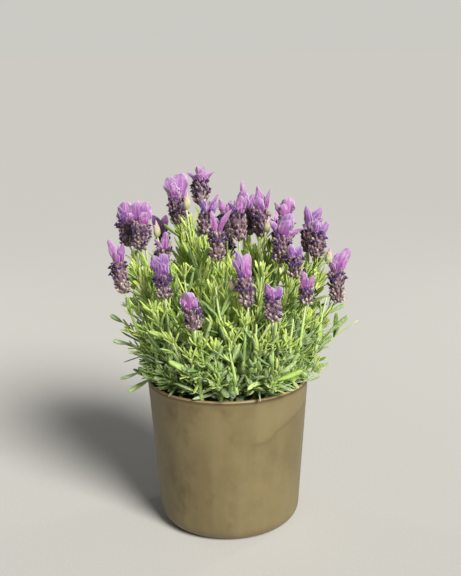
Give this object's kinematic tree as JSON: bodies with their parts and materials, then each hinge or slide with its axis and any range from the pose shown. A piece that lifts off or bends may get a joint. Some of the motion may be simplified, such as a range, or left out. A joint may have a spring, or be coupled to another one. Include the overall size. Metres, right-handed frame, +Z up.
{
  "type": "potted lavender",
  "caption": "Rabbit-ear (French) lavender in flower, growing in a plain tapered cover pot with a khaki glaze; stands on its flat base.",
  "frame": {"origin": "centre of the pot's flat base, on the surface the pot stands on", "axes": "+Z straight up from the base, -Y towards the side with the fuller front flowers, +X to the right seen from that side"},
  "size_m": [0.2486, 0.2497, 0.3505],
  "materials": {
    "khaki_glaze": "satin",
    "potting_mix": "matte",
    "bark": "matte",
    "leaf": "matte",
    "flower": "matte",
    "bud": "matte"
  },
  "bodies": {
    "root": {"pot": "khaki_glaze", "potting_mix": "potting_mix", "woody_crown": "bark", "branch_01": "leaf", "branch_02": "leaf", "branch_03": "leaf", "branch_04": "leaf", "branch_05": "leaf", "branch_06": "leaf", "branch_07": "leaf", "branch_08": "leaf", "branch_09": "leaf", "branch_10": "leaf", "branch_11": "leaf", "branch_12": "leaf", "leafy_shoot_01": "leaf", "leafy_shoot_02": "leaf", "leafy_shoot_03": "leaf", "leafy_shoot_04": "leaf", "leafy_shoot_05": "leaf", "leafy_shoot_06": "leaf", "leafy_shoot_07": "leaf", "leafy_shoot_08": "leaf", "leafy_shoot_09": "leaf", "leafy_shoot_10": "leaf", "leafy_shoot_11": "leaf", "flower_head_01": "flower", "flower_head_02": "flower", "flower_head_03": "flower", "flower_head_04": "flower", "flower_head_05": "flower", "flower_head_06": "flower", "flower_head_07": "flower", "flower_head_08": "flower", "flower_head_09": "flower", "flower_head_10": "flower", "flower_head_11": "flower", "flower_head_12": "flower", "flower_head_13": "flower", "flower_head_14": "flower", "flower_head_15": "flower", "flower_head_16": "flower", "flower_head_17": "flower", "flower_head_18": "flower", "flower_head_19": "flower", "flower_head_20": "flower", "flower_head_21": "flower", "flower_head_22": "flower", "flower_head_23": "flower", "flower_head_24": "flower", "flower_head_25": "flower", "flower_head_26": "flower", "flower_bud_01": "bud", "flower_bud_02": "bud", "flower_bud_03": "bud", "flower_bud_04": "bud", "flower_bud_05": "bud"}
  },
  "joints": []
}
